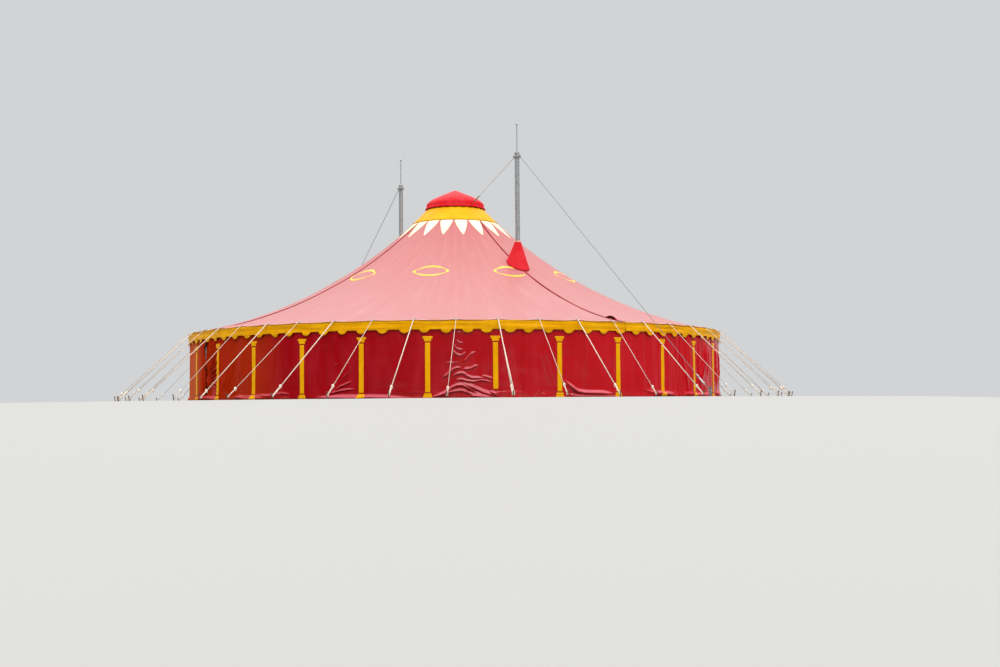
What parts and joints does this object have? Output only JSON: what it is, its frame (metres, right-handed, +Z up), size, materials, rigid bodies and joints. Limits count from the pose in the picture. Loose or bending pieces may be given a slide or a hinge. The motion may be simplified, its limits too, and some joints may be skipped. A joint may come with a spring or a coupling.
{
  "type": "circus big top tent",
  "caption": "Round circus big top with a pink laced roof on two masts, a scalloped yellow valance, crimson walls with yellow columns and guy ropes.",
  "frame": {"origin": "middle of the tent on the ground", "axes": "+Z up; -Y towards the side that the picture shows; +X to the right of that view"},
  "size_m": [35.0476, 39.465, 13.9],
  "materials": {
    "roof_cloth": "coated tent cloth, faded pink",
    "yellow_cloth": "coated tent cloth, yellow",
    "crimson_cloth": "coated tent cloth, crimson, slightly glossy",
    "rope_and_webbing": "off-white rope and webbing",
    "galvanised_steel": "dull galvanised"
  },
  "bodies": {
    "root": {"roof_quarter_1": "roof_cloth", "valance_1": "yellow_cloth", "mast_1": "galvanised_steel", "mast_sleeve_1": "crimson_cloth", "mast_guy_1": "galvanised_steel", "roof_quarter_2": "roof_cloth", "valance_2": "yellow_cloth", "mast_2": "galvanised_steel", "mast_sleeve_2": "crimson_cloth", "mast_guy_2": "galvanised_steel", "roof_quarter_3": "roof_cloth", "valance_3": "yellow_cloth", "roof_quarter_4": "roof_cloth", "valance_4": "yellow_cloth", "wall_sheet_01": "crimson_cloth", "wall_sheet_02": "crimson_cloth", "wall_sheet_03": "crimson_cloth", "wall_sheet_04": "crimson_cloth", "wall_sheet_05": "crimson_cloth", "wall_sheet_06": "crimson_cloth", "wall_sheet_07": "crimson_cloth", "wall_sheet_08": "crimson_cloth", "wall_sheet_09": "crimson_cloth", "wall_sheet_10": "crimson_cloth", "rim_set_01": "rope_and_webbing", "rim_set_02": "rope_and_webbing", "rim_set_03": "rope_and_webbing", "rim_set_04": "rope_and_webbing", "rim_set_05": "rope_and_webbing", "rim_set_06": "rope_and_webbing", "rim_set_07": "rope_and_webbing", "rim_set_08": "rope_and_webbing", "rim_set_09": "rope_and_webbing", "rim_set_10": "rope_and_webbing", "rim_set_11": "rope_and_webbing", "rim_set_12": "rope_and_webbing", "crown_ring": "galvanised_steel", "crown_collar": "yellow_cloth", "crown_cap": "crimson_cloth"}
  },
  "joints": []
}
